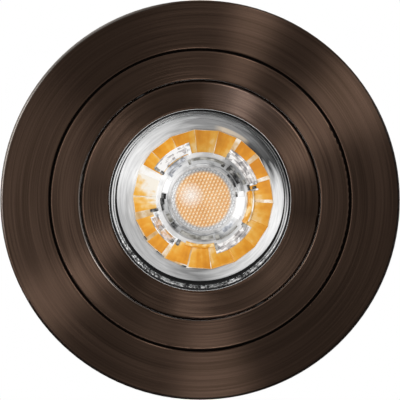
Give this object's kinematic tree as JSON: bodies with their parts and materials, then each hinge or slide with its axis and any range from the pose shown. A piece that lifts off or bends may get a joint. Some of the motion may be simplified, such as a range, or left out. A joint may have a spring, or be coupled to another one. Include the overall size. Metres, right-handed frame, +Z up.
{
  "type": "recessed spotlight",
  "caption": "Round recessed ceiling spotlight: bronze trim ring, twist-out insert, tilting lamp ring, clear-lens reflector lamp in its holder and sprung ceiling clips.",
  "frame": {"origin": "centre of the trim flange's rear face, which lies against the ceiling", "axes": "+Z up into the ceiling, the light shines along -Z; X is the tilt axis"},
  "size_m": [0.105, 0.105, 0.0619],
  "materials": {
    "bronze": "circular brushed, satin",
    "zinc_steel": "zinc plated",
    "spring_steel": "drawn wire",
    "glass": "clear",
    "lens": "clear, polished",
    "phosphor": "matt",
    "board_white": "white solder mask",
    "bare_aluminium": "spun",
    "board_green": "solder mask",
    "capacitor": "sleeved",
    "ferrite": "sintered",
    "white_plastic": "moulded",
    "nickel": "nickel plated",
    "ceramic": "unglazed",
    "brass": "stamped",
    "soft_pad": "dipped"
  },
  "bodies": {
    "housing": {"trim_ring": "bronze", "clip_bracket_left": "zinc_steel", "clip_bracket_right": "zinc_steel", "clip_pin_left": "zinc_steel", "clip_pin_right": "zinc_steel", "clip_spring_left": "spring_steel", "clip_spring_right": "spring_steel", "bracket_screws": "zinc_steel"},
    "insert": {"bayonet_ring": "bronze", "pivot_pin_left": "zinc_steel", "pivot_pin_right": "zinc_steel", "friction_washers": "spring_steel"},
    "lamp_head": {"tilt_ring": "bronze", "lamp_snap_ring": "spring_steel", "lamp_glass": "glass", "lamp_lens": "lens", "led_chip": "phosphor", "led_board": "board_white", "lamp_heat_sink": "bare_aluminium", "driver_board": "board_green", "driver_capacitor": "capacitor", "driver_choke": "ferrite", "lamp_base": "white_plastic", "lamp_contact_pins": "nickel"},
    "lampholder": {"holder_body": "ceramic", "holder_cover": "ceramic", "holder_contacts": "brass", "holder_screws": "zinc_steel"},
    "clip_left": {"clip_arm_left": "zinc_steel", "clip_pad_left": "soft_pad"},
    "clip_right": {"clip_arm_right": "zinc_steel", "clip_pad_right": "soft_pad"}
  },
  "joints": [
    {"name": "insert_twist", "type": "hinge", "parent": "housing", "child": "insert", "pos_m": [0, 0, 0], "axis": [0, 0, -1], "range_deg": [0, 20]},
    {"name": "head_tilt", "type": "hinge", "parent": "insert", "child": "lamp_head", "pos_m": [0, 0, 0.0012], "axis": [1, 0, 0], "range_deg": [-25, 25]},
    {"name": "lampholder_twist", "type": "hinge", "parent": "lamp_head", "child": "lampholder", "pos_m": [0, 0, 0.0012], "axis": [0, 0, 1], "range_deg": [0, 20]},
    {"name": "clip_right_fold", "type": "hinge", "parent": "housing", "child": "clip_right", "pos_m": [0.0434, 0, 0.024], "axis": [0, -1, 0], "range_deg": [0, 165], "stiffness_Nm_per_rad": 0.05, "springref_deg": -45.84, "deforming": ["clip_spring_right"]},
    {"name": "clip_left_fold", "type": "hinge", "parent": "housing", "child": "clip_left", "pos_m": [-0.0434, 0, 0.024], "axis": [0, 1, 0], "range_deg": [0, 165], "stiffness_Nm_per_rad": 0.05, "springref_deg": -45.84, "deforming": ["clip_spring_left"]}
  ]
}
